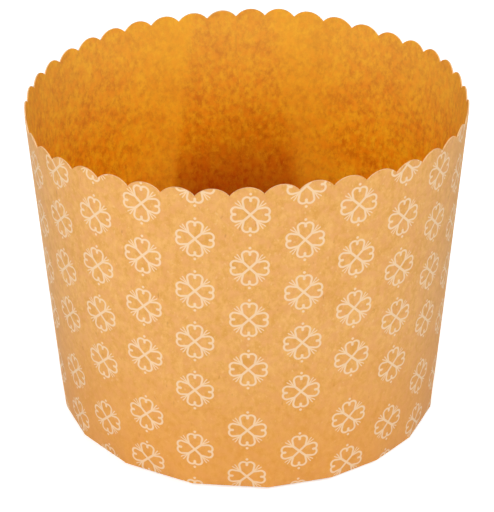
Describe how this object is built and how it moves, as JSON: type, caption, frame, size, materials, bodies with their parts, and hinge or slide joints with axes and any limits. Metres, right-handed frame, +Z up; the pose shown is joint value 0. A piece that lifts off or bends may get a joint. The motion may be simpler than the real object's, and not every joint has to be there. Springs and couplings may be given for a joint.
{
  "type": "panettone mold",
  "caption": "Tall round paper baking cup with a tapered wall, scalloped rim, glued lap seam and pleated skirt turned in under a round base disc.",
  "frame": {"origin": "centre of the outline, at the lowest point of the base, on the surface that the cup stands on", "axes": "+Z up out of the mouth, -Y towards the front of the picture, +X to its right"},
  "size_m": [0.1354, 0.1308, 0.107],
  "materials": {
    "side_wall": "matte greaseproof kraft with a pale printed pattern",
    "base_disc": "matte kraft board"
  },
  "bodies": {
    "root": {"side_wall": "side_wall", "base_disc": "base_disc"}
  },
  "joints": []
}
